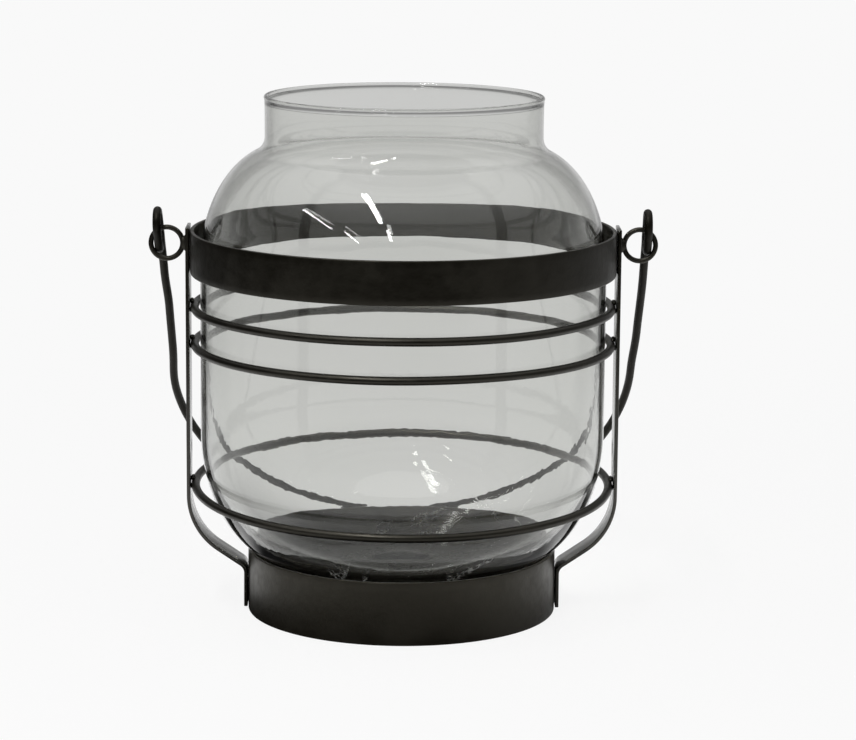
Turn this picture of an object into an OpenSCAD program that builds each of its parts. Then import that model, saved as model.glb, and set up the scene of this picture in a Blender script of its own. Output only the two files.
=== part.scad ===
// Jar lantern: an open blown-glass jar that stands in a welded iron cage.
// A rolled base band carries two bent flat straps, a top band and three wire
// rings. A wire bail hangs by its end loops from two round eyes on the straps.
// Millimetres, +Z up, origin at the centre of the base on the table.

/* [Glass jar] */
// Outer diameter of the jar's body
jar_d = 190.6; // [184:0.2:191]
// Height of the jar from its underside to its lip
jar_h = 232.4; // [215:0.1:250]
// Outer diameter of the neck
neck_d = 130; // [110:1:150]
// Height of the shoulder curve
shoulder_h = 56; // [45:1:70]
// Reach of the shoulder curve, inward from the body
shoulder_w = 38.3; // [34:0.1:42]
// Height of the heel curve
heel_h = 62; // [50:1:75]
// Reach of the heel curve, inward from the body
heel_w = 44.3; // [38:0.1:52]
// Radius of the flat foot under the jar's bowl-shaped bottom
jar_foot_r = 16; // [10:1:30]
// Radius of the fillet between shoulder and neck
neck_fillet_r = 8; // [5:0.5:12]
// Thickness of the glass wall
glass_t = 2.5; // [1.8:0.1:3.5]
// Thickness of the glass floor
glass_floor_t = 4.5; // [3:0.5:7]
// Rise of the hollow under the jar
punt_rise = 2; // [0:0.5:4]
// Radius of the rounded lip's section
lip_r = 1.6; // [1.3:0.1:2.2]

/* [Base] */
// Outer diameter of the base band
base_d = 146.2; // [130:0.2:160]
// Height of the base band
base_h = 29.6; // [22:0.2:40]
// Thickness of the base band
base_t = 1.7; // [1.2:0.1:3]
// Thickness of the base plate
plate_t = 1.5; // [1:0.1:3]

/* [Cage] */
// Outer diameter of the top band and of the rings
cage_d = 200; // [199.6:0.1:206]
// Height of the top band
band_h = 20; // [12:0.5:30]
// Height of the top band's upper edge
band_top_z = 181.5; // [176:0.5:190]
// Thickness of the top band
band_t = 1.8; // [1.2:0.1:2.2]
// Diameter of the ring wire
ring_wire = 4; // [3:0.1:4.2]
// Height of the upper ring's centre
ring_upper_z = 145.3; // [140:0.1:155]
// Height of the middle ring's centre
ring_middle_z = 127.8; // [115:0.1:134]
// Height of the lower ring's centre
ring_lower_z = 60.3; // [57:0.1:80]
// Forward tilt of the lower ring, in degrees
ring_lower_tilt = 2.3; // [0:0.1:3]

/* [Straps] */
// Width of a strap
strap_w = 18; // [12:0.5:24]
// Thickness of a strap
strap_t = 1.7; // [1.2:0.1:3]
// Height of a strap's end above the top band
strap_over = 1.4; // [0:0.1:6]
// Height of a strap's foot above the table
strap_foot_z = 1.5; // [0.5:0.1:8]
// Outer radius of a strap's large lower bend
strap_bend_r = 32; // [20:0.5:36]
// Height of the centre of the large lower bend
strap_bend_z = 55.2; // [54:0.1:57]
// Rise of a strap's sloping part from level, in degrees
strap_slope = 34; // [28:1:36]
// Radius of the small bend at the base band
strap_foot_r = 4; // [2:0.5:6]

/* [Eyes] */
// Wire diameter of an eye
eye_wire = 2.4; // [2:0.1:3]
// Outer diameter of an eye
eye_d = 17.2; // [17.2:0.1:20]
// Distance of an eye's centre below the top band's upper edge
eye_drop = 6.9; // [5:0.1:14]
// Gap between an eye and its strap, filled by the weld
eye_gap = 0.5; // [0.1:0.1:1]
// Reach of an eye's weld bead along the strap, from its middle
eye_weld_r = 6.4; // [4.5:0.1:7]
// Reach of the bead where it meets the eye
eye_weld_top_r = 3.2; // [1.5:0.1:4]

/* [Bail] */
// Diameter of the bail wire
bail_wire = 4; // [3:0.1:4.2]
// Distance of a bail leg outside the eye's centre, at the pivot
bail_offset = 2.8; // [2.5:0.1:2.8]
// Height of the pivot above the eye's centre
pivot_rise = 6.9; // [6.9:0.1:7.2]
// Half-width of an end loop, at its wire's centre
loop_r = 5.5; // [5.3:0.1:5.7]
// Distance of the loop's far bend from the pivot
loop_far = 4; // [3.5:0.1:4]
// Distance of the loop's closing bend from the pivot
loop_near = 6.2; // [5:0.1:7]
// Gap between the loop's tip and the leg
loop_tip_gap = 0.3; // [0.1:0.1:1]
// Distance from the pivot down to the legs' curve
leg_drop = 109; // [95:1:115]
// Radius of a side curve
bail_side_r = 134; // [128:1:150]
// Radius of the middle curve
bail_middle_r = 82; // [78:1:95]

/* [Fit] */
// Free height between the jar's heel and the base band
seat_gap = 0.4; // [0.3:0.1:1]

/* [Hidden] */
smooth = 120;       // facets of a large round
wire_fn = 32;       // facets of a wire's section
past = 1;           // how far a cutter runs past what it cuts
ball_over = 0.05;   // how much thicker than the wire a ball that joins it is
iron = [0.10, 0.10, 0.09];

cage_r = cage_d / 2;
strap_out = cage_r + strap_t;          // outer face of a strap
base_r = base_d / 2;
base_in = base_r - base_t;
base_out = base_r + strap_t;           // outer face of a strap's foot

// Jar: the heel's curve meets the band's inner edge at the seat gap
jar_r = jar_d / 2;
neck_r = neck_d / 2;
heel_in = jar_r - heel_w;              // radius where the heel curve ends
shoulder_in = jar_r - shoulder_w;
seat_turn = acos((base_in - heel_in) / heel_w);              // on the heel curve, where the bowl takes over
heel_top_z = base_h + seat_gap + heel_h * sin(seat_turn);
bowl_turn = atan(heel_h / heel_w / tan(seat_turn));          // slope of the heel curve there
bowl_r = (base_in - jar_foot_r) / sin(bowl_turn);
jar_foot_z = base_h + seat_gap - bowl_r * (1 - cos(bowl_turn));
jar_top_z = jar_foot_z + jar_h;
crown_drop = 23.4;                     // from the lip down to the level of the shoulder curve's crown
shoulder_z = jar_top_z - crown_drop - shoulder_h;
heel_steps = 12;
bowl_steps = 8;
shoulder_steps = 12;
fillet_steps = 5;
bend_steps = 16;

// Pivot of the bail and its rest angle on the table behind
eye_r = (eye_d - eye_wire) / 2;
eye_x = strap_out + eye_gap + eye_d / 2;
eye_z = band_top_z - eye_drop;
pivot_x = eye_x + bail_offset;
pivot_z = eye_z + pivot_rise;
side_x = pivot_x - bail_side_r;        // a side curve's centre is [side_x, -leg_drop]
radius_step = bail_side_r - bail_middle_r;
side_turn = acos(-side_x / radius_step);                     // where side and middle curves meet
middle_drop = leg_drop + radius_step * sin(side_turn);
bail_reach = middle_drop + bail_middle_r;                    // pivot to the middle of the bail
swing_r = norm([bail_reach, loop_r]);
rest_angle = acos((pivot_z - bail_wire / 2) / swing_r) - atan(loop_r / bail_reach);

// Outline of the jar
function on_curve(centre_r, centre_z, a, b, turn) = [centre_r + a * cos(turn), centre_z + b * sin(turn)];
function curve_points(centre_r, centre_z, a, b, from, to, steps) =
    [for (i = [0 : steps]) on_curve(centre_r, centre_z, a, b, from + (to - from) * i / steps)];
function outward(a, b, turn) = [cos(turn) / a, sin(turn) / b] / norm([cos(turn) / a, sin(turn) / b]);
// Angle on the shoulder curve at which a fillet of radius r, centred at radius target, is tangent
function fillet_turn(a, b, r, target, low = 10, high = 89, tries = 24) =
    tries == 0 ? (low + high) / 2 :
    let (mid = (low + high) / 2,
         reach = shoulder_in + a * cos(mid) + r * outward(a, b, mid)[0])
    reach > target ? fillet_turn(a, b, r, target, mid, high, tries - 1)
                   : fillet_turn(a, b, r, target, low, mid, tries - 1);
// One side of the wall, from the foot up over bowl and heel to the lip, inset by t from the outside
function wall_side(t, floor_t) =
    let (a = shoulder_w - t, b = shoulder_h - t, r = neck_fillet_r + t,
         centre_r = neck_r + neck_fillet_r,
         turn = fillet_turn(a, b, r, centre_r),
         centre_z = shoulder_z + b * sin(turn) + r * outward(a, b, turn)[1],
         start = 180 + atan2(outward(a, b, turn)[1], outward(a, b, turn)[0]),
         heel_end = on_curve(heel_in, heel_top_z, heel_w - t, heel_h - floor_t, -seat_turn),
         slope = atan((heel_h - floor_t) / (heel_w - t) / tan(seat_turn)),
         bowl = (heel_end[0] - jar_foot_r) / sin(slope))
    concat(curve_points(jar_foot_r, heel_end[1] + bowl * cos(slope), bowl, bowl, -90, slope - 90, bowl_steps),
           curve_points(heel_in, heel_top_z, heel_w - t, heel_h - floor_t,
                        -seat_turn * (1 - 1 / heel_steps), 0, heel_steps - 1),
           curve_points(shoulder_in, shoulder_z, a, b, 0, turn, shoulder_steps),
           curve_points(centre_r, centre_z, r, r, start, 180, fillet_steps),
           [[neck_r - t, jar_top_z - lip_r]]);
function backwards(list) = [for (i = [len(list) - 1 : -1 : 0]) list[i]];

module glass_jar() {
    punt_z = jar_foot_z + punt_rise;
    color([0.78, 0.80, 0.77, 0.35])
    rotate_extrude($fn = smooth)
        union() {
            polygon(concat([[0, punt_z]], wall_side(0, 0),
                           backwards(wall_side(glass_t, glass_floor_t)), [[0, punt_z + glass_floor_t]]));
            translate([neck_r - glass_t / 2, jar_top_z - lip_r]) circle(r = lip_r, $fn = wire_fn);
        }
}

// Upright strip rolled into a ring that stands on height z
module rolled_band(outer_r, t, h, z) {
    translate([0, 0, z])
        difference() {
            cylinder(r = outer_r, h = h, $fn = smooth);
            translate([0, 0, -past]) cylinder(r = outer_r - t, h = h + 2 * past, $fn = smooth);
        }
}

module base_band() {
    color(iron) rolled_band(base_r, base_t, base_h, 0);
}

module base_plate() {
    color(iron) cylinder(r = base_in, h = plate_t, $fn = smooth);
}

module top_band() {
    color(iron) rolled_band(cage_r, band_t, band_h, band_top_z - band_h);
}

// Points of a bend, seen from the side
function bend_points(centre, r, from, to) =
    [for (i = [0 : bend_steps]) let (turn = from + (to - from) * i / bend_steps)
        centre + r * [cos(turn), sin(turn)]];
// Side view of the right strap's face, from its top end to its foot, t inside the outer face
function strap_side(t) =
    let (turn = 90 - strap_slope,
         bend_x = strap_out - strap_bend_r,
         slope_top = [bend_x + strap_bend_r * cos(turn), strap_bend_z - strap_bend_r * sin(turn)],
         foot_x = base_out + strap_foot_r,
         slope_run = slope_top[0] - foot_x + strap_foot_r * sin(strap_slope),
         foot_z = slope_top[1] - slope_run * tan(strap_slope) - strap_foot_r * cos(strap_slope))
    concat([[strap_out - t, band_top_z + strap_over]],
           bend_points([bend_x, strap_bend_z], strap_bend_r - t, 0, -turn),
           bend_points([foot_x, foot_z], strap_foot_r + t, 90 + strap_slope, 180),
           [[base_out - t, strap_foot_z]]);

// Flat strap on the right: upright along the cage, bent in under the jar and down to the base band
module strap() {
    translate([0, strap_w / 2, 0])
        rotate([90, 0, 0])
            linear_extrude(strap_w) polygon(concat(strap_side(0), backwards(strap_side(strap_t))));
}

module strap_right() { color(iron) strap(); }

module strap_left() { color(iron) mirror([1, 0, 0]) strap(); }

// Round wire closed into a ring of the cage's diameter
module wire_ring(z, tilt = 0) {
    translate([0, 0, z])
        rotate([tilt, 0, 0])
            rotate_extrude($fn = smooth)
                translate([cage_r - ring_wire / 2, 0]) circle(d = ring_wire, $fn = wire_fn);
}

module ring_upper() { color(iron) wire_ring(ring_upper_z); }

module ring_middle() { color(iron) wire_ring(ring_middle_z); }

module ring_lower() { color(iron) wire_ring(ring_lower_z, ring_lower_tilt); }

// Small round wire ring that stands in the XZ plane
module eye(side) {
    translate([side * eye_x, 0, eye_z])
        rotate([90, 0, 0])
            rotate_extrude($fn = smooth)
                translate([eye_r, 0]) circle(d = eye_wire, $fn = wire_fn);
}

module eye_left() { color(iron) eye(-1); }

module eye_right() { color(iron) eye(1); }

// Hollow-sided bead of weld metal that joins an eye to its strap
module eye_welds() {
    crown = eye_wire / 2;
    rise = crown + eye_gap;
    flare = eye_weld_r - eye_weld_top_r;
    color(iron)
        for (side = [-1, 1])
            translate([side * strap_out, 0, eye_z])
                rotate([0, side * 90, 0])
                    rotate_extrude($fn = smooth)
                        polygon(concat([[0, 0]],
                                       [for (turn = [0 : 15 : 90])
                                           [eye_weld_r - flare * sin(turn), rise * (1 - cos(turn))]],
                                       [for (turn = [15 : 15 : 90])
                                           [eye_weld_top_r * cos(turn), rise + crown * sin(turn)]]));
}

// Fillet beads above and below each ring where it meets the two straps
module ring_welds() {
    bead_r = 1.3;
    bead_len = 6;
    sink = 0.8;      // how far a bead's axis lies inside the strap's face
    color(iron)
        for (side = [-1, 1], ring_z = [ring_upper_z, ring_middle_z, ring_lower_z], up = [-1, 1])
            translate([side * (cage_r - sink), 0, ring_z + up * ring_wire / 2])
                difference() {
                    rotate([90, 0, 0]) cylinder(r = bead_r, h = bead_len, center = true, $fn = wire_fn);
                    translate([side * (sink + bead_r), 0, 0])
                        cube([2 * bead_r, 2 * bead_len, 4 * bead_r], center = true);
                }
}

// Round wire bent about a centre in the XZ plane, with a ball in each end
module wire_bend(centre, r, from, turn) {
    translate([centre[0], 0, centre[1]])
        rotate([90, 0, 0])
            rotate([0, 0, from]) {
                rotate_extrude(angle = turn, $fn = smooth)
                    translate([r, 0]) circle(d = bail_wire, $fn = wire_fn);
                for (end = [0, turn]) rotate([0, 0, end]) translate([r, 0, 0]) wire_ball();
            }
}

// Ball that joins two lengths of wire, a hair thicker than the wire
module wire_ball() {
    sphere(r = bail_wire / 2 + ball_over, $fn = wire_fn);
}

// Straight round wire that rises from the origin
module wire_rod(length) {
    cylinder(d = bail_wire, h = length, $fn = wire_fn);
}

// Loop in the YZ plane about the pivot, with the leg that runs down from it
module end_loop() {
    tip_len = loop_r - bail_wire / 2 - loop_tip_gap;
    translate([0, loop_r, -leg_drop]) wire_rod(leg_drop + loop_far);
    translate([0, -loop_r, -loop_near]) wire_rod(loop_near + loop_far);
    rotate([0, 0, 90]) {
        wire_bend([0, loop_far], loop_r, 0, 180);
        wire_bend([0, -loop_near], loop_r, 180, 90);
    }
    translate([0, 0, -loop_near - loop_r]) rotate([-90, 0, 0]) wire_rod(tip_len);
}

// Bail as it hangs straight down, with the pivot on the X axis
module hanging_bail() {
    translate([0, loop_r, 0])
        wire_bend([0, -middle_drop], bail_middle_r, 180 + side_turn, 180 - 2 * side_turn);
    for (side = [0, 1])
        mirror([side, 0, 0]) {
            translate([0, loop_r, 0])
                wire_bend([side_x, -leg_drop], bail_side_r, -side_turn, side_turn);
            translate([pivot_x, 0, 0]) end_loop();
        }
}

module bail_handle() {
    color(iron) translate([0, 0, pivot_z]) rotate([rest_angle, 0, 0]) hanging_bail();
}

glass_jar();
base_band();
base_plate();
strap_left();
strap_right();
top_band();
ring_upper();
ring_middle();
ring_lower();
eye_left();
eye_right();
eye_welds();
ring_welds();
bail_handle();
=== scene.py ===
"""Jar lantern: a blown-glass jar in a cage of black iron strip and wire.

Its wire bail rests on the table behind it.

Metres, +Z up, the middle of the base at the origin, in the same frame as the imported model.
"""

import math

import bmesh
import bpy
from mathutils import Matrix, Vector, noise


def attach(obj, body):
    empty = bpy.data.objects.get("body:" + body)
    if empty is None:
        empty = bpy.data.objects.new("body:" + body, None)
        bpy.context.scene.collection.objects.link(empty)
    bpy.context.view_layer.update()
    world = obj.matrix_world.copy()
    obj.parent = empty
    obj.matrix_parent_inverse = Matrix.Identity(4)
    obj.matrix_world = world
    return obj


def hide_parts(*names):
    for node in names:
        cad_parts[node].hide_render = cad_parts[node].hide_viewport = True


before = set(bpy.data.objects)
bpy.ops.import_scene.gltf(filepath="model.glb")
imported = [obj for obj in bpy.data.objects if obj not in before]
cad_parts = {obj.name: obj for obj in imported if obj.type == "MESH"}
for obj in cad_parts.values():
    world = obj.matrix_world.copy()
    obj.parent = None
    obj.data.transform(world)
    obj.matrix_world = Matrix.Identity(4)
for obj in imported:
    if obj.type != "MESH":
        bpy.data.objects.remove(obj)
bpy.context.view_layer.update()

# Camera: a long lens above the lantern's top, looking a little down at its front.
camera = bpy.data.objects.new("camera", bpy.data.cameras.new("camera"))
bpy.context.collection.objects.link(camera)
bpy.context.scene.camera = camera
camera.data.sensor_width = 36
camera.data.lens = 131.56
camera_place = Vector((-0.00975, -1.45153, 0.38617))
camera_aim = Vector((0.01191, 0.0, 0.11460))
camera_roll = math.radians(0.453)
camera_turn = (camera_aim - camera_place).to_track_quat("-Z", "Y").to_matrix().to_4x4()
camera.matrix_world = Matrix.Translation(camera_place) @ camera_turn @ Matrix.Rotation(camera_roll, 4, "Z")


# Table and studio: a white table top in a dim white room, under two rows of ceiling tubes with a gap between.
# The table and the room look white to the eye and like a grey backdrop through glass.
# Polished things mirror a dim room, its bright ceiling and, on the table round the lantern, a painted pool of
# light with painted shade right under the lantern.
class Socket:
    """One output of a shader node, which can be written in a sum."""

    def __init__(self, tree, output):
        self.tree = tree
        self.output = output

    def node(self, kind, settings, inputs, output=0):
        """Adds a node with its settings first, then the values or links of its sockets."""
        made = self.tree.nodes.new("ShaderNode" + kind)
        for name, value in settings.items():
            setattr(made, name, value)
        for name, value in inputs.items():
            if isinstance(value, Socket):
                self.tree.links.new(value.output, made.inputs[name])
            else:
                made.inputs[name].default_value = value
        return Socket(self.tree, None if output is None else made.outputs[output])

    def math(self, operation, first, second=0.0, third=0.0):
        return self.node("Math", {"operation": operation}, {0: first, 1: second, 2: third})

    def __add__(self, other):
        return self.math("ADD", self, other)

    def __sub__(self, other):
        return self.math("SUBTRACT", self, other)

    def __rsub__(self, other):
        return self.math("SUBTRACT", other, self)

    def __mul__(self, other):
        return self.math("MULTIPLY", self, other)

    __radd__ = __add__
    __rmul__ = __mul__

    def between(self, low, high):
        """0 where it is low, 1 where it is high, and smooth between."""
        return self.node(
            "MapRange",
            {"interpolation_type": "SMOOTHSTEP"},
            {"Value": self, "From Min": low, "From Max": high},
        )


white = 0.947
grey = 0.60
room = 0.025
bright_side = 0.24
ceiling_shade = 1.3
upward_mirror_loss = 0.5
left_loss = 0.32
right_loss = 0.12
upward_loss = 0.65


def light_paths(tree):
    """Sockets that are 1 for a ray that is seen straight, seen through glass or mirrored, and else 0."""
    straight = Socket(tree, tree.nodes.new("ShaderNodeLightPath").outputs["Is Camera Ray"])
    through = Socket(tree, straight.output.node.outputs["Is Transmission Ray"])
    glossy = Socket(tree, straight.output.node.outputs["Is Glossy Ray"])
    return straight, through, glossy * (1 - through)


def room_shade(place):
    """How bright the room is that way in a mirror, and how grey it is behind glass.

    The mirrored room is grey behind the object, bright overhead, dim to the front and brighter to the right.
    Behind glass it darkens upwards and to both sides, most on the left.
    """
    outward = place.node("VectorMath", {"operation": "NORMALIZE"}, {0: place})
    back = place.node("SeparateXYZ", {}, {0: outward}, "Y")
    side = Socket(place.tree, back.output.node.outputs["X"])
    up = Socket(place.tree, back.output.node.outputs["Z"])
    behind = back.between(0.72, 0.97) * (1 - up.between(0.02, 0.20) * upward_mirror_loss)
    right = side.between(0.35, 0.75) * (1 - back.between(0.72, 0.97))
    overhead = up.between(0.40, 0.95) * ceiling_shade
    mirror = behind * (grey - room) + right * (bright_side - room) + overhead + room
    aslant = side.between(0.22, 0.60) * right_loss + side.between(-0.22, -0.62) * left_loss
    glass = grey - aslant * back.between(0.66, 0.80)
    glass = glass * (1 - up.between(0.05, 0.22) * upward_loss)
    return mirror, glass


world = bpy.data.worlds.new("studio")
bpy.context.scene.world = world
world.use_nodes = True
world.node_tree.nodes.clear()
straight, through, mirrored = light_paths(world.node_tree)
direction = Socket(world.node_tree, world.node_tree.nodes.new("ShaderNodeTexCoord").outputs["Generated"])
surround_light = 0.45
lit_only = 1 - straight.math("MAXIMUM", straight, straight.math("MAXIMUM", through, mirrored))
mirror_shade, glass_shade = room_shade(direction)
strength = straight * white + through * glass_shade + mirrored * mirror_shade + lit_only * surround_light
surround = strength.node("Background", {}, {"Color": (1, 1, 1, 1), "Strength": strength})
surround.node("OutputWorld", {}, {"Surface": surround}, None)

table_size = 14.0
floor_mesh = bmesh.new()
bmesh.ops.create_grid(floor_mesh, x_segments=4, y_segments=4, size=table_size / 2)
floor_data = bpy.data.meshes.new("floor")
floor_mesh.to_mesh(floor_data)
floor_mesh.free()
floor = bpy.data.objects.new("floor", floor_data)
bpy.context.collection.objects.link(floor)
floor_paint = bpy.data.materials.new("white_table")
floor_paint.use_nodes = True
floor_paint.node_tree.nodes.clear()
straight, through, mirrored = light_paths(floor_paint.node_tree)
spot = Socket(floor_paint.node_tree, floor_paint.node_tree.nodes.new("ShaderNodeTexCoord").outputs["Object"])
distance = spot.node("VectorMath", {"operation": "LENGTH"}, {0: spot}, "Value")
near = 1 - distance.between(0.25, 0.90)
front_back = spot.node("SeparateXYZ", {}, {0: spot}, "Y")
# Painted light: seen in mirrors, the table glows in a ring round the lantern and stays dim right under it.
# This is a painted pool of light with painted shade inside it.
painted_table_light = (distance + front_back * 0.35).between(0.085, 0.125) * near
far, glass_shade = room_shade(spot)
near_glow = 0.05
near_glow_in_glass = 0.03
seen_glow = straight * (near * near_glow + white)
glass_glow = through * (near * near_glow_in_glass + glass_shade)
glow = seen_glow + glass_glow + mirrored * (painted_table_light * (1.0 - far) + far)
matt = spot.node("BsdfDiffuse", {}, {"Color": (0.86, 0.86, 0.86, 1)})
bright = spot.node("Emission", {}, {"Color": (1, 1, 1, 1), "Strength": glow})
shadow_kept = near * 0.13
self_lit = (straight + through) * (1 - shadow_kept) + mirrored
both = spot.node("MixShader", {}, {0: self_lit, 1: matt, 2: bright})
both.node("OutputMaterial", {}, {"Surface": both}, None)
floor_data.materials.append(floor_paint)


def tube(name, place, width, length, watts):
    """A ceiling tube that runs from front to back and shines straight down."""
    lamp = bpy.data.objects.new(name, bpy.data.lights.new(name, "AREA"))
    bpy.context.collection.objects.link(lamp)
    lamp.data.shape = "RECTANGLE"
    lamp.data.size = width
    lamp.data.size_y = length
    lamp.data.energy = watts
    lamp.location = place


ceiling = 1.75
tube("tube_left_near", (-1.86, -1.15, ceiling), 0.07, 1.25, 8)
tube("tube_left_far", (-1.58, -2.52, ceiling), 0.07, 1.0, 7)
tube("tube_middle_near", (-0.50, -1.12, ceiling), 0.09, 1.28, 16)
tube("tube_middle_far", (-0.40, -2.58, ceiling), 0.09, 0.9, 7)


# Base band: a strip of mild steel rolled into a ring, on whose inner edge the jar's round bottom sits.
# The strip's edges are knocked back with a file, and it is sprayed satin black with the rest of the cage.
mm = 0.001
base_r = 73.1 * mm
base_h = 29.6 * mm
base_t = 1.7 * mm
around = 180


def black_lacquer(name, shade, sheen_shade, rough, gloss=0.40, coat=0.0):
    """Thin satin black lacquer over iron: cloudy, a little brown, with fine orange peel and rubbed spots."""
    paint = bpy.data.materials.new(name)
    paint.use_nodes = True
    shader = paint.node_tree.nodes["Principled BSDF"]
    at = Socket(paint.node_tree, paint.node_tree.nodes.new("ShaderNodeTexCoord").outputs["Object"])
    clouds = at.node("TexNoise", {}, {"Vector": at, "Scale": 45.0, "Detail": 3.0})
    grain = at.node("TexNoise", {}, {"Vector": at, "Scale": 900.0, "Detail": 2.0})
    lumps = at.node("TexNoise", {}, {"Vector": at, "Scale": 260.0, "Detail": 2.0})
    cloudy = clouds.between(0.38, 0.66)
    worn = cloudy * 0.7 + grain.between(0.55, 0.75) * 0.3
    colour = at.node("Mix", {"data_type": "RGBA"}, {0: worn, 6: shade, 7: sheen_shade}, 2)
    height = lumps * 0.7 + grain * 0.3
    peel = at.node("Bump", {}, {"Strength": 0.22, "Distance": 0.0006, "Height": height})
    links = paint.node_tree.links
    links.new(colour.output, shader.inputs["Base Color"])
    links.new((cloudy * 0.10 + lumps.between(0.4, 0.6) * 0.05 + rough).output, shader.inputs["Roughness"])
    links.new(peel.output, shader.inputs["Normal"])
    shader.inputs["Metallic"].default_value = 0.0
    shader.inputs["Specular IOR Level"].default_value = gloss
    shader.inputs["Specular Tint"].default_value = (1.0, 0.95, 0.80, 1)
    shader.inputs["Coat Weight"].default_value = coat
    shader.inputs["Coat Roughness"].default_value = 0.10
    return paint


def turn_loop(bm, loop, centre, axis, angle, steps):
    """Sweeps a loop of edges round an axis through centre and returns the loop at its end."""
    swept = bmesh.ops.spin(
        bm, geom=loop, cent=centre, axis=axis, dvec=(0, 0, 0), angle=angle, steps=steps, use_duplicate=False
    )
    return end_loop(swept["geom_last"])


def push_loop(bm, loop, move, steps):
    """Extrudes a loop of edges straight along move, in steps, and returns the loop at its end."""
    for _ in range(steps):
        pushed = bmesh.ops.extrude_edge_only(bm, edges=loop)["geom"]
        loop = end_loop(pushed)
        ends = {v for e in loop for v in e.verts}
        bmesh.ops.translate(bm, verts=list(ends), vec=Vector(move) / steps)
    return loop


def end_loop(geom):
    """The edges of geom whose two ends are both in it."""
    corners = {g for g in geom if isinstance(g, bmesh.types.BMVert)}
    return [g for g in geom if isinstance(g, bmesh.types.BMEdge) and corners.issuperset(g.verts)]


def spin_round(bm, geom, steps):
    """Spins points and edges once round Z and joins the end to the start."""
    origin, upwards = (0, 0, 0), (0, 0, 1)
    bmesh.ops.spin(
        bm, geom=geom, cent=origin, axis=upwards, dvec=origin, angle=math.tau, steps=steps, use_merge=True
    )


def whole_ring(bm, profile, steps):
    """Spins a closed profile of [radius, height] points round Z."""
    points = [bm.verts.new((r, 0, z)) for r, z in profile]
    edges = [bm.edges.new((points[i - 1], points[i])) for i in range(len(points))]
    spin_round(bm, points + edges, steps)


def rounded_strip(outer, inner, low, high, r):
    """Profile of an upright strip with its four edges rounded."""
    corners = [
        (outer - r, low + r, -90),
        (outer - r, high - r, 0),
        (inner + r, high - r, 90),
        (inner + r, low + r, 180),
    ]
    profile = []
    for x, z, start in corners:
        for step in range(4):
            turn = math.radians(start + 30 * step)
            profile.append((x + r * math.cos(turn), z + r * math.sin(turn)))
    upright = 7
    rows = []
    for i, (x, z) in enumerate(profile):
        rows.append((x, z))
        rise = profile[(i + 1) % len(profile)][1] - z
        if abs(rise) > 4 * r:
            rows += [(x, z + rise * k / upright) for k in range(1, upright)]
    return rows


def waver(bm, amount, size, seed):
    """Hand work: draws every point in towards the axis by up to amount, in slow waves of that size."""
    for v in bm.verts:
        wave = noise.noise(v.co / size + Vector((seed, 0, 0)))
        shrink = 1 - amount * (0.5 + 0.5 * wave) / max(math.hypot(v.co.x, v.co.y), 1e-6)
        v.co.x *= shrink
        v.co.y *= shrink


def finish_piece(bm, name, paint, body, slot, *nodes):
    """Turns the mesh's faces outwards, makes the object and puts it in the frame."""
    bmesh.ops.remove_doubles(bm, verts=bm.verts, dist=1e-6)
    bmesh.ops.recalc_face_normals(bm, faces=bm.faces)
    data = bpy.data.meshes.new(name)
    bm.to_mesh(data)
    bm.free()
    data.shade_smooth()
    data.set_sharp_from_angle(angle=math.radians(50))
    data.materials.append(paint)
    made = bpy.data.objects.new(name, data)
    bpy.context.collection.objects.link(made)
    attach(made, body)
    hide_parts(*nodes)


band_paint = black_lacquer(
    "black_lacquer", (0.0030, 0.0024, 0.0012, 1), (0.0060, 0.0052, 0.0034, 1), rough=0.30
)
# Painted light: the base band's lacquer is a lighter, glossier copy of the cage's black lacquer, standing in
# for light thrown up from the table.
base_paint_with_painted_light = black_lacquer(
    "black_lacquer_base_painted_light", (0.0085, 0.0072, 0.0048, 1), (0.0135, 0.0115, 0.0085, 1), rough=0.33, gloss=0.48
)
base = bmesh.new()
whole_ring(base, rounded_strip(base_r, base_r - base_t, 0, base_h, 0.4 * mm), around)
waver(base, amount=0.35 * mm, size=45 * mm, seed=3)
finish_piece(base, "base_ring", base_paint_with_painted_light, "cage", "iron", "base_band")

# Base plate: a disc cut from thin sheet and tacked inside the base band, level with the table.
plate_t = 1.5 * mm
plate = bmesh.new()
bmesh.ops.create_circle(plate, cap_ends=True, segments=around, radius=base_r - base_t)
disc = plate.faces[:]
lifted = bmesh.ops.extrude_face_region(plate, geom=disc)["geom"]
upper_side = [g for g in lifted if isinstance(g, bmesh.types.BMVert)]
bmesh.ops.translate(plate, verts=upper_side, vec=(0, 0, plate_t))
plate_paint = black_lacquer(
    "black_lacquer_plate", (0.005, 0.0045, 0.003, 1), (0.012, 0.011, 0.009, 1), rough=0.24, gloss=0.25
)
finish_piece(plate, "base_disc", plate_paint, "cage", "iron", "base_plate")

# Top band: a narrower strip rolled to the cage's full diameter, in the cage's plain black lacquer; the base
# band's copy of it is painted lighter, as painted light.
top_r = 100 * mm
top_t = 1.8 * mm
top_high = 181.5 * mm
top_low = top_high - 20 * mm
top = bmesh.new()
whole_ring(top, rounded_strip(top_r, top_r - top_t, top_low, top_high, 0.45 * mm), around)
waver(top, amount=0.3 * mm, size=60 * mm, seed=11)
finish_piece(top, "top_ring", band_paint, "cage", "iron", "top_band")

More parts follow.
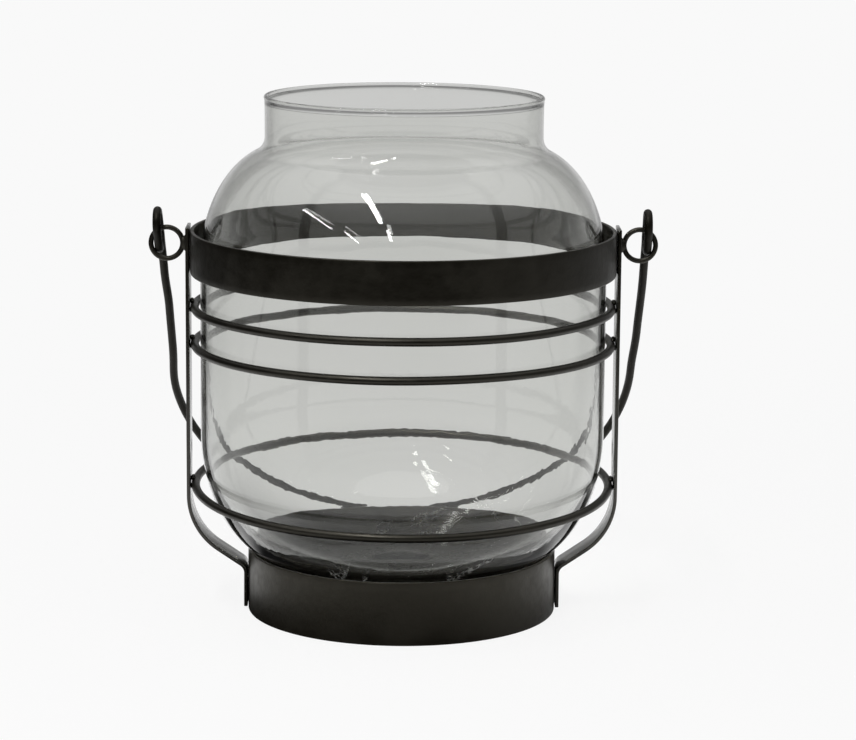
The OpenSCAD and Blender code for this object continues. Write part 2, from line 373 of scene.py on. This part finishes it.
# Straps: two flat bars that stand outside the cage, bend in under the jar and come down on the base band.
# Each is bent cold over a former, so its bends are smooth, and its upper end is cut square.
strap_w = 18 * mm
strap_t = 1.7 * mm
strap_out = top_r + strap_t
strap_top = top_high + 1.4 * mm
strap_low = 1.5 * mm
bend_r = 32 * mm
bend_z = 55.2 * mm
slope = math.radians(34)
foot_r = 4 * mm
bend_turn = math.pi / 2 - slope
bend_x = strap_out - bend_r
foot_x = base_r + strap_t + foot_r
slope_top_x = bend_x + bend_r * math.cos(bend_turn)
slope_top_z = bend_z - bend_r * math.sin(bend_turn)
slope_run = slope_top_x - foot_x + foot_r * math.sin(slope)
foot_z = slope_top_z - slope_run * math.tan(slope) - foot_r * math.cos(slope)
strap_paint = black_lacquer(
    "black_lacquer_strap",
    (0.0030, 0.0024, 0.0012, 1),
    (0.0060, 0.0052, 0.0034, 1),
    rough=0.26,
    gloss=0.45,
    coat=0.8,
)
for side, name, node in ((1, "strap_bar_right", "strap_right"), (-1, "strap_bar_left", "strap_left")):
    strap = bmesh.new()
    corners = [
        strap.verts.new((x, y, strap_top))
        for x, y in (
            (strap_out, -strap_w / 2),
            (strap_out, strap_w / 2),
            (strap_out - strap_t, strap_w / 2),
            (strap_out - strap_t, -strap_w / 2),
        )
    ]
    loop = [strap.edges.new((corners[i - 1], corners[i])) for i in range(4)]
    strap.faces.new(corners)
    loop = push_loop(strap, loop, (0, 0, bend_z - strap_top), 14)
    loop = turn_loop(strap, loop, (bend_x, 0, bend_z), (0, 1, 0), bend_turn, 16)
    loop = push_loop(strap, loop, (-slope_run, 0, -slope_run * math.tan(slope)), 4)
    loop = turn_loop(strap, loop, (foot_x, 0, foot_z), (0, -1, 0), bend_turn, 8)
    loop = push_loop(strap, loop, (0, 0, strap_low - foot_z), 3)
    bmesh.ops.edgeloop_fill(strap, edges=loop)
    bmesh.ops.remove_doubles(strap, verts=strap.verts, dist=1e-6)
    bmesh.ops.recalc_face_normals(strap, faces=strap.faces)
    sharp = [e for e in strap.edges if e.calc_face_angle(0) > math.radians(60)]
    bmesh.ops.bevel(
        strap,
        geom=sharp,
        offset=0.4 * mm,
        offset_type="OFFSET",
        affect="EDGES",
        segments=3,
        profile=0.5,
        material=-1,
    )
    if side < 0:
        bmesh.ops.scale(strap, verts=strap.verts, vec=(-1, 1, 1))
    finish_piece(strap, name, strap_paint, "cage", "iron", node)

# Rings: round wire bent into three hoops and butt welded, held inside the straps. The lowest leans a little.
wire_r = 2 * mm
wire_paint = black_lacquer(
    "black_lacquer_wire", (0.0035, 0.003, 0.002, 1), (0.008, 0.007, 0.0055, 1), rough=0.30
)
rings = (
    ("hoop_upper", "ring_upper", 145.3, 0, 21),
    ("hoop_middle", "ring_middle", 127.8, 0, 27),
    ("hoop_lower", "ring_lower", 60.3, 2.3, 33),
)
hoop_wave = 0.30 * mm


def round_wire(ring_r, thick_r):
    """Profile of a round wire that is bent into a ring."""
    turns = [math.tau * k / 16 for k in range(16)]
    return [(ring_r + thick_r * math.cos(t), thick_r * math.sin(t)) for t in turns]


for name, node, height, tilt, seed in rings:
    hoop = bmesh.new()
    whole_ring(hoop, round_wire(top_r - wire_r, wire_r), around)
    for v in hoop.verts:
        bearing = Vector((v.co.x, v.co.y, 0)).normalized()
        v.co.z += hoop_wave * noise.noise(bearing * 1.6 + Vector((seed, 0, 0)))
    waver(hoop, amount=0.35 * mm, size=55 * mm, seed=seed)
    lean = Matrix.Rotation(math.radians(tilt), 3, "X")
    bmesh.ops.rotate(hoop, verts=hoop.verts, cent=(0, 0, 0), matrix=lean)
    bmesh.ops.translate(hoop, verts=hoop.verts, vec=(0, 0, height * mm))
    finish_piece(hoop, name, wire_paint, "cage", "wire", node)

# Ring welds: short lumpy beads laid above and below each hoop where it meets a strap.
# noise_vector is seeded by the clock, so the lumps here and at the eyes differ a little from run to run.
bead_r = 1.35 * mm
bead_lumps = 0.25 * mm
beads = bmesh.new()
for side in (-1, 1):
    for _, _, height, _, _ in rings:
        for up in (-1, 1):
            bead = bmesh.ops.create_icosphere(beads, subdivisions=3, radius=bead_r)["verts"]
            bmesh.ops.scale(beads, verts=bead, vec=(0.9, 2.3, 1.0))
            bead_place = (side * (top_r - 0.9 * mm), 0, height * mm + up * wire_r)
            bmesh.ops.translate(beads, verts=bead, vec=bead_place)
            for v in bead:
                v.co += bead_lumps * noise.noise_vector(v.co * 420)
weld_paint = black_lacquer(
    "black_lacquer_weld", (0.005, 0.0045, 0.0035, 1), (0.013, 0.012, 0.010, 1), rough=0.38
)
finish_piece(beads, "hoop_beads", weld_paint, "cage", "weld", "ring_welds")

# Eyes: two small wire rings that stand out from the straps in the lantern's own plane and carry the bail.
# A hollow-sided bead of weld metal fills the corner between each ring and its strap.
eye_wire_r = 1.2 * mm
eye_r = 7.4 * mm
eye_x = 110.8 * mm
eye_z = 174.6 * mm
for side, name, node in ((1, "eye_ring_right", "eye_right"), (-1, "eye_ring_left", "eye_left")):
    eye = bmesh.new()
    whole_ring(eye, round_wire(eye_r, eye_wire_r), 72)
    bmesh.ops.rotate(eye, verts=eye.verts, cent=(0, 0, 0), matrix=Matrix.Rotation(math.pi / 2, 3, "X"))
    bmesh.ops.translate(eye, verts=eye.verts, vec=(side * eye_x, 0, eye_z))
    finish_piece(eye, name, wire_paint, "cage", "wire", node)

weld_reach = 6.4 * mm
weld_top = 3.2 * mm
weld_rise = 1.7 * mm
weld_lumps = 0.18 * mm
weld = bmesh.new()
for side in (-1, 1):
    flare = weld_reach - weld_top
    turns = [math.radians(90 * k / 9) for k in range(10)]
    hollow = [(weld_reach - flare * math.sin(t), weld_rise * (1 - math.cos(t))) for t in turns]
    crown = [(weld_top * math.cos(t), weld_rise + eye_wire_r * math.sin(t)) for t in turns[1:]]
    curve = [weld.verts.new((r, 0, h)) for r, h in hollow + crown]
    edges = [weld.edges.new(pair) for pair in zip(curve, curve[1:])]
    spin_round(weld, curve + edges, 40)
    here = [v for v in weld.verts if abs(v.co.x) < 20 * mm]
    bmesh.ops.scale(weld, verts=here, vec=(1, 0.60, 1))
    bmesh.ops.rotate(weld, verts=here, cent=(0, 0, 0), matrix=Matrix.Rotation(side * math.pi / 2, 3, "Y"))
    bmesh.ops.translate(weld, verts=here, vec=(side * (strap_out - 0.1 * mm), 0, eye_z))
    for v in here:
        v.co += weld_lumps * noise.noise_vector(v.co * 380)
bmesh.ops.holes_fill(weld, edges=[e for e in weld.edges if e.is_boundary], sides=0)
finish_piece(weld, "eye_beads", weld_paint, "cage", "weld", "eye_welds")

# Bail: one length of round wire, bowed like a bucket handle, with its ends looped through the eyes.
# It is made hanging down from the pivot and then swung back until it lies on the table.
bail_r = 2 * mm
pivot_x = 113.6 * mm
pivot_z = 181.5 * mm
hook_r = 5.5 * mm
hook_far = 4 * mm
hook_near = 6.2 * mm
hook_tip = 3.2 * mm
leg = 109 * mm
side_r = 134 * mm
middle_r = 82 * mm
side_x = pivot_x - side_r
side_turn = math.acos(-side_x / (side_r - middle_r))
middle_drop = leg + (side_r - middle_r) * math.sin(side_turn)
reach = middle_drop + middle_r
rest = math.acos((pivot_z - bail_r) / math.hypot(reach, hook_r)) - math.atan(hook_r / reach)
bail = bmesh.new()
tip = bmesh.ops.create_circle(bail, cap_ends=True, segments=20, radius=bail_r)["verts"]
bmesh.ops.rotate(bail, verts=tip, cent=(0, 0, 0), matrix=Matrix.Rotation(math.pi / 2, 3, "X"))
bmesh.ops.translate(bail, verts=tip, vec=(pivot_x, hook_tip, -hook_near - hook_r))
loop = [e for e in bail.edges if e.is_boundary]
loop = push_loop(bail, loop, (0, -hook_tip, 0), 2)
loop = turn_loop(bail, loop, (pivot_x, 0, -hook_near), (-1, 0, 0), math.pi / 2, 10)
loop = push_loop(bail, loop, (0, 0, hook_near + hook_far), 4)
loop = turn_loop(bail, loop, (pivot_x, 0, hook_far), (-1, 0, 0), math.pi, 20)
loop = push_loop(bail, loop, (0, 0, -hook_far - leg), 24)
loop = turn_loop(bail, loop, (side_x, hook_r, -leg), (0, 1, 0), side_turn, 40)
loop = turn_loop(bail, loop, (0, hook_r, -middle_drop), (0, 1, 0), math.pi - 2 * side_turn, 40)
loop = turn_loop(bail, loop, (-side_x, hook_r, -leg), (0, 1, 0), side_turn, 40)
loop = push_loop(bail, loop, (0, 0, leg + hook_far), 24)
loop = turn_loop(bail, loop, (-pivot_x, 0, hook_far), (1, 0, 0), math.pi, 20)
loop = push_loop(bail, loop, (0, 0, -hook_near - hook_far), 4)
loop = turn_loop(bail, loop, (-pivot_x, 0, -hook_near), (1, 0, 0), math.pi / 2, 10)
loop = push_loop(bail, loop, (0, hook_tip, 0), 2)
bmesh.ops.edgeloop_fill(bail, edges=loop)


def smooth(share):
    """A share from 0 to 1 that sets off and arrives slowly."""
    return share * share * (3 - 2 * share)


def bent_by(height, bends):
    """How far a leg bent by hand stands to one side at a height, from its [height, offset] marks."""
    for (low, low_by), (high, high_by) in zip(bends, bends[1:]):
        if height <= high:
            share = smooth(min(max((height - low) / (high - low), 0), 1))
            return (low_by + (high_by - low_by) * share) * mm
    return bends[-1][1] * mm


left_bends = [(-126, 0.0), (-95, 0.9), (-63, 0.7), (-36, -0.4), (-12, -0.9), (10, -1.3)]
right_bends = [(-109, 0.0), (-80, 1.1), (-45, 1.5), (-20, 1.2), (-5, 0.8), (10, 0.5)]
for v in bail.verts:
    v.co.x += bent_by(v.co.z / mm, left_bends if v.co.x < 0 else right_bends)
bmesh.ops.rotate(bail, verts=bail.verts, cent=(0, 0, 0), matrix=Matrix.Rotation(rest, 3, "X"))
bmesh.ops.translate(bail, verts=bail.verts, vec=(0, 0, pivot_z))
# Painted shade: the bail's lacquer is a duller copy of the wire's, with far less reflection, standing in for
# shade on the legs.
bail_paint_painted_shade = black_lacquer(
    "black_lacquer_bail_painted_shade", (0.004, 0.0035, 0.0025, 1), (0.008, 0.007, 0.005, 1), rough=0.36, gloss=0.14
)
finish_piece(bail, "bail_wire", bail_paint_painted_shade, "bail", "wire", "bail_handle")

# Jar: clear glass with a faint grey-green cast, blown in a mould and fire polished at the lip.
# The wall is 2.5 mm thick and a little uneven, which bends what is seen through it.
# It is thinner at the neck and thicker in the bowl of the bottom, which has a few scuffs.
jar_r = 95.3 * mm
heel_h = 62 * mm
heel_w = 44.3 * mm
shoulder_h = 56 * mm
shoulder_w = 38.3 * mm
neck_r = 65 * mm
fillet_r = 8 * mm
wall = 2.5 * mm
neck_wall = 1.5 * mm
floor_t = 4.5 * mm
thick_below = 70 * mm
thick_fade = 56 * mm
thin_above = 165 * mm
thin_fade = 42 * mm
punt = 2 * mm
lip_r = 1.1 * mm
seat_gap = 0.4 * mm
heel_in = jar_r - heel_w
shoulder_in = jar_r - shoulder_w
foot_flat = 16 * mm
seat_r = base_r - base_t
seat_turn = math.degrees(math.acos((seat_r - heel_in) / heel_w))
heel_z = base_h + seat_gap + heel_h * math.sin(math.radians(seat_turn))
jar_top = 244.42 * mm
shoulder_z = jar_top - 23.4 * mm - shoulder_h


def oval(centre_r, centre_z, across, up, start, stop, steps):
    """Points on part of an oval."""
    turns = [math.radians(start + (stop - start) * k / steps) for k in range(steps + 1)]
    return [(centre_r + across * math.cos(t), centre_z + up * math.sin(t)) for t in turns]


def wall_outside():
    """The wall's outer side from the foot to the lip."""
    across, up, r = shoulder_w, shoulder_h, fillet_r
    centre_r = neck_r + fillet_r
    low, high = 10.0, 89.0
    for _ in range(30):
        middle = (low + high) / 2
        turn = math.radians(middle)
        slant = Vector((math.cos(turn) / across, math.sin(turn) / up)).normalized()
        if shoulder_in + across * math.cos(turn) + r * slant.x > centre_r:
            low = middle
        else:
            high = middle
    centre_z = shoulder_z + up * math.sin(math.radians(middle)) + r * slant.y
    start = 180 + math.degrees(math.atan2(slant.y, slant.x))
    slope = math.atan(heel_h / heel_w / math.tan(math.radians(seat_turn)))
    bowl_r = (seat_r - foot_flat) / math.sin(slope)
    bowl_z = base_h + seat_gap + bowl_r * math.cos(slope)
    foot = bowl_z - bowl_r
    punt_marks = ((0, 1), (0.35, 0.8), (0.7, 0.35))
    punt_side = [(foot_flat * out, foot + punt * rise) for out, rise in punt_marks]
    bowl = oval(foot_flat, bowl_z, bowl_r, bowl_r, -90, math.degrees(slope) - 90, 16)
    body = punt_side + bowl + oval(heel_in, heel_z, heel_w, heel_h, -seat_turn, 0, 34)[1:]
    straight = [(jar_r, heel_z + (shoulder_z - heel_z) * k / 26) for k in range(1, 26)]
    crown = oval(shoulder_in, shoulder_z, across, up, 0, middle, 36)
    throat = oval(centre_r, centre_z, r, r, start, 180, 10)
    neck_low = throat[-1][1]
    neck_high = jar_top - lip_r
    neck = [(neck_r, neck_low + (neck_high - neck_low) * k / 6) for k in range(1, 7)]
    return body + straight + crown[1:] + throat + neck


def wall_inside(outer_side):
    """The wall's inner side, as far in from the outer side as the glass is thick there."""
    side = []
    for i, (r, z) in enumerate(outer_side):
        before, after = outer_side[max(i - 1, 0)], outer_side[min(i + 1, len(outer_side) - 1)]
        along = (Vector(after) - Vector(before)).normalized()
        low = min(max((thick_below - z) / thick_fade, 0), 1)
        high = min(max((z - thin_above) / thin_fade, 0), 1)
        thick = wall + (floor_t - wall) * smooth(low) + (neck_wall - wall) * smooth(high)
        side.append((max(r - along.y * thick, 0), z + along.x * thick))
    inner_floor = side[4][1]
    side[:4] = [(outer_side[i][0], inner_floor) for i in range(4)]
    return side


jar = bmesh.new()
lip_centre = neck_r - neck_wall / 2
lip = oval(lip_centre, jar_top - lip_r, lip_r, lip_r, -38, 218, 16)
outside = wall_outside()
outline = outside[:-1] + lip + wall_inside(outside)[-2::-1]
points = [jar.verts.new((r, 0, z)) for r, z in outline]
edges = [jar.edges.new(pair) for pair in zip(points, points[1:])]
spin_round(jar, points + edges, around)
bmesh.ops.remove_doubles(jar, verts=jar.verts, dist=1e-6)
bmesh.ops.recalc_face_normals(jar, faces=jar.faces)
jar.normal_update()
ripple_depth = 0.16 * mm
swirl_depth = 0.02 * mm
least_depth = 0.04 * mm
inner_raise = 0.1 * mm
calm_r = 40 * mm
calm_top = 12 * mm
for v in jar.verts:
    r = math.hypot(v.co.x, v.co.y)
    inner = v.normal.dot(Vector((v.co.x, v.co.y, 0))) < 0
    ripple = noise.noise(Vector((v.co.x, v.co.y, v.co.z * 0.8)) * 22 + Vector((5, 0, 9 * inner)))
    swirl = noise.noise(Vector((v.co.x, v.co.y, v.co.z * 1.4)) * 70 + Vector((0, 7, 4 * inner)))
    depth = ripple_depth * (0.5 + 0.5 * ripple) + swirl_depth * swirl + least_depth
    if inner:
        depth -= inner_raise
    share = min(1, r / calm_r) * min(1, (jar_top - v.co.z) / calm_top)
    shrink = 1 - share * depth / max(r, 1e-6)
    v.co.x *= shrink
    v.co.y *= shrink

glass = bpy.data.materials.new("clear_glass")
glass.use_nodes = True
glass_shader = glass.node_tree.nodes["Principled BSDF"]
glass_at = Socket(glass.node_tree, glass.node_tree.nodes.new("ShaderNodeTexCoord").outputs["Object"])
cast = glass_at.node("TexNoise", {}, {"Vector": glass_at, "Scale": 14.0, "Detail": 2.0}).between(0.35, 0.65)
green_cast, clear_cast = (0.955, 0.962, 0.940, 1), (0.970, 0.974, 0.956, 1)
tint = glass_at.node("Mix", {"data_type": "RGBA"}, {0: cast, 6: green_cast, 7: clear_cast}, 2)
glass.node_tree.links.new(tint.output, glass_shader.inputs["Base Color"])
hammered = glass_at.node("TexNoise", {}, {"Vector": glass_at, "Scale": 190.0, "Detail": 1.5})
across = glass_at.node("SeparateXYZ", {}, {0: glass_at}, "X")
depth_in = Socket(glass.node_tree, across.output.node.outputs["Y"])
level = Socket(glass.node_tree, across.output.node.outputs["Z"])
wavier_below = 1.6
wavier = 1 + (1 - level.between(0.105, 0.155)) * wavier_below
hammer_depth = 0.008 * mm
uneven = glass_at.node("Bump", {}, {"Strength": 1.0, "Distance": hammer_depth, "Height": hammered * wavier})
glass.node_tree.links.new(uneven.output, glass_shader.inputs["Normal"])
wander = glass_at.node("TexNoise", {}, {"Vector": glass_at, "Scale": 420.0, "Detail": 3.0})
patchy = glass_at.node("TexNoise", {}, {"Vector": glass_at, "Scale": 260.0, "Detail": 1.0})
ragged = (wander - 0.5) * (5 * mm) + (patchy - 0.5) * (3 * mm)


def scratch(start, end, half_width):
    """1 along a ragged scratch from one place to another, given across and up in mm, and 0 away from it."""
    x, z = start[0] * mm, start[1] * mm
    reach = math.dist(start, end) * mm
    lean_x, lean_z = (end[0] * mm - x) / reach, (end[1] * mm - z) / reach
    along = (across - x) * lean_x + (level - z) * lean_z - reach / 2
    aside = (level - z) * lean_x - (across - x) * lean_z + ragged
    ends = along.math("ABSOLUTE", along).between(reach * 0.38, reach * 0.56)
    return (1 - ends) * (1 - aside.math("ABSOLUTE", aside).between(0.0, half_width * mm))


front_scuffs = scratch((-34.0, 35.6), (-27.0, 30.0), 0.5)
front_marks = (
    ((-25.0, 37.0), (-26.4, 30.0), 0.5),
    ((-31.5, 33.0), (-25.0, 35.0), 0.4),
    ((-16.2, 32.6), (-17.8, 29.0), 0.5),
    ((20.0, 28.8), (31.0, 37.5), 0.35),
    ((28.0, 35.0), (41.0, 42.0), 0.5),
    ((20.2, 30.2), (22.6, 29.4), 0.9),
)
for start, end, half_width in front_marks:
    front_scuffs = front_scuffs.math("MAXIMUM", front_scuffs, scratch(start, end, half_width))
back_scuffs = scratch((3.5, 22.8), (24.5, 29.5), 0.8)
back_marks = (
    ((8.5, 21.2), (24.0, 20.4), 0.5),
    ((-13.0, 21.0), (-4.0, 22.0), 0.3),
    ((36.0, 36.0), (44.0, 33.5), 0.7),
    ((43.0, 34.0), (49.5, 28.5), 0.5),
)
for start, end, half_width in back_marks:
    back_scuffs = back_scuffs.math("MAXIMUM", back_scuffs, scratch(start, end, half_width))
front_rough = 0.55
back_rough = 0.36
front_scuffs = front_scuffs * depth_in.between(-0.03, -0.05) * patchy.between(0.30, 0.45)
scuffs = front_scuffs * front_rough + back_scuffs * depth_in.between(0.030, 0.034) * back_rough
glass.node_tree.links.new(scuffs.output, glass_shader.inputs["Roughness"])
glass_shader.inputs["Transmission Weight"].default_value = 1.0
glass_shader.inputs["IOR"].default_value = 1.5
light_path = glass.node_tree.nodes.new("ShaderNodeLightPath")
lamp_light = Socket(glass.node_tree, light_path.outputs["Is Shadow Ray"])
let_through = glass_at.node("BsdfTransparent", {}, {"Color": (0.92, 0.925, 0.91, 1)})
solid_glass = Socket(glass.node_tree, glass_shader.outputs["BSDF"])
glazing = glass_at.node("MixShader", {}, {0: lamp_light, 1: solid_glass, 2: let_through})
glass.node_tree.links.new(glazing.output, glass.node_tree.nodes["Material Output"].inputs["Surface"])
finish_piece(jar, "jar_glass", glass, "jar", "glass", "glass_jar")

bpy.context.scene.view_settings.view_transform = "Standard"
